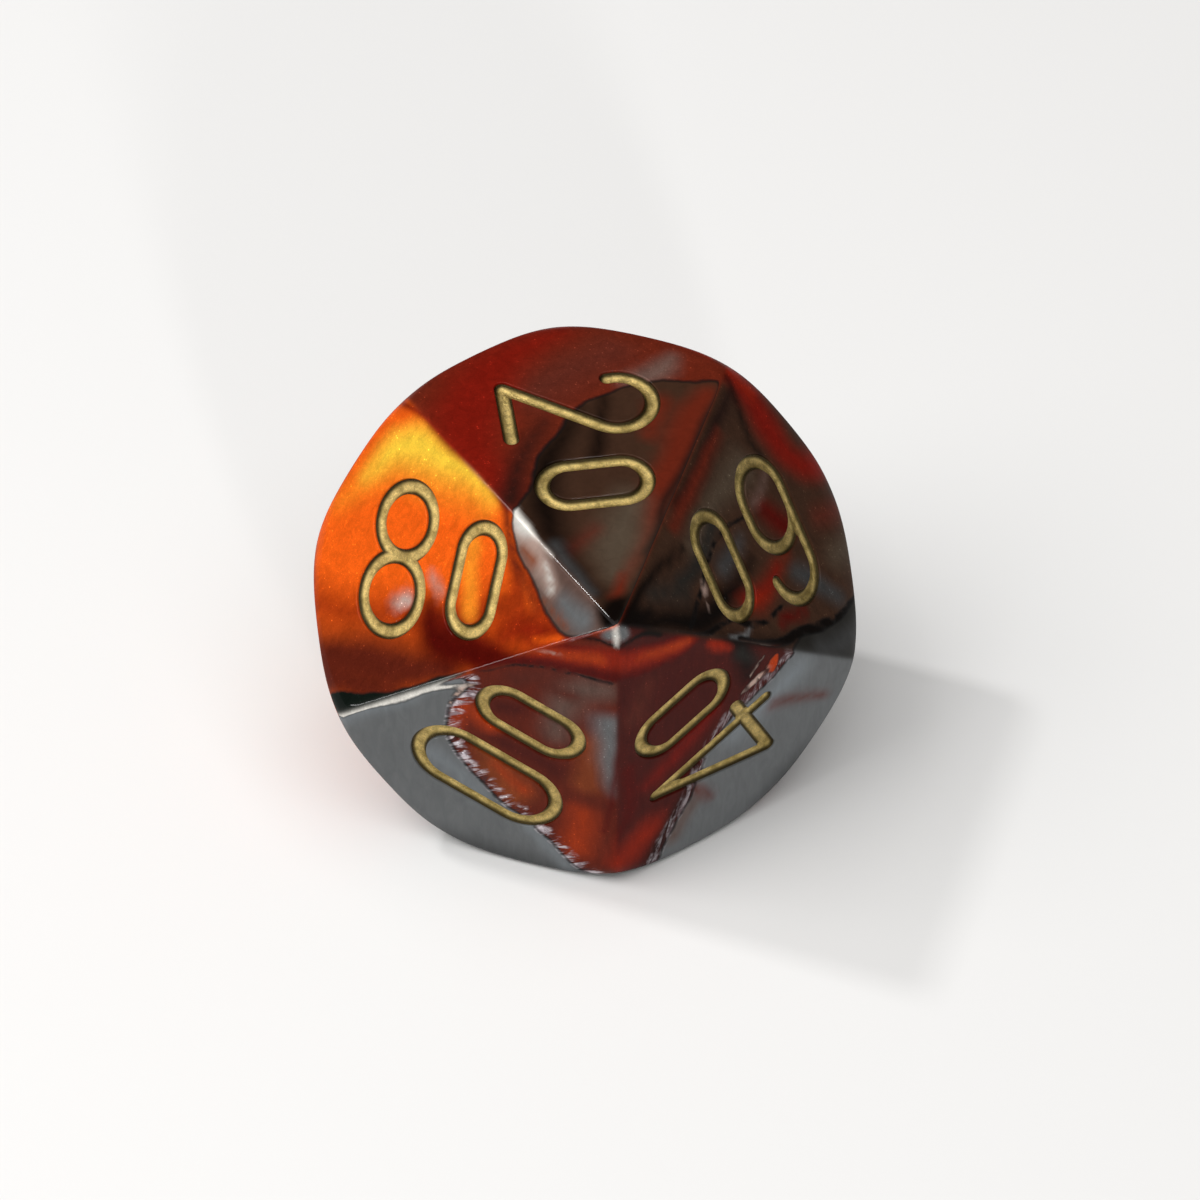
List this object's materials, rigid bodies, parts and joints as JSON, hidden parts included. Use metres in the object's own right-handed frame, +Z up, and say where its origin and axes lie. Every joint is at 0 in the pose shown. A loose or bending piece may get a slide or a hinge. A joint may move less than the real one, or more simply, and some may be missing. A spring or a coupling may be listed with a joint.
{
  "type": "polyhedral die",
  "caption": "Ten-sided percentile die: a kite-faced trapezohedron of swirled resin, engraved with the tens and filled with gold paint.",
  "frame": {"origin": "under the die's centre, in the plane of the face that it rests on", "axes": "+Z up, out of the face marked 20; -Z out of the resting face marked 70; +X towards the tops of the digits of 20 and along the die's longest side; -Y the way that 20 reads, towards the near pole"},
  "size_m": [0.0222, 0.0176, 0.016],
  "materials": {
    "resin": "polished pearlescent resin, copper orange and dark red swirled with steel grey",
    "gold_paint": "metallic gold paint with a fine grain"
  },
  "bodies": {
    "root": {"die_body": "resin", "gold_20_tens": "gold_paint", "gold_20_units": "gold_paint", "gold_80_tens": "gold_paint", "gold_80_units": "gold_paint", "gold_00_tens": "gold_paint", "gold_00_units": "gold_paint", "gold_40_tens": "gold_paint", "gold_40_units": "gold_paint", "gold_60_tens": "gold_paint", "gold_60_units": "gold_paint", "gold_70_tens": "gold_paint", "gold_70_units": "gold_paint", "gold_10_tens": "gold_paint", "gold_10_units": "gold_paint", "gold_90_tens": "gold_paint", "gold_90_units": "gold_paint", "gold_50_tens": "gold_paint", "gold_50_units": "gold_paint", "gold_30_tens": "gold_paint", "gold_30_units": "gold_paint"}
  },
  "joints": []
}
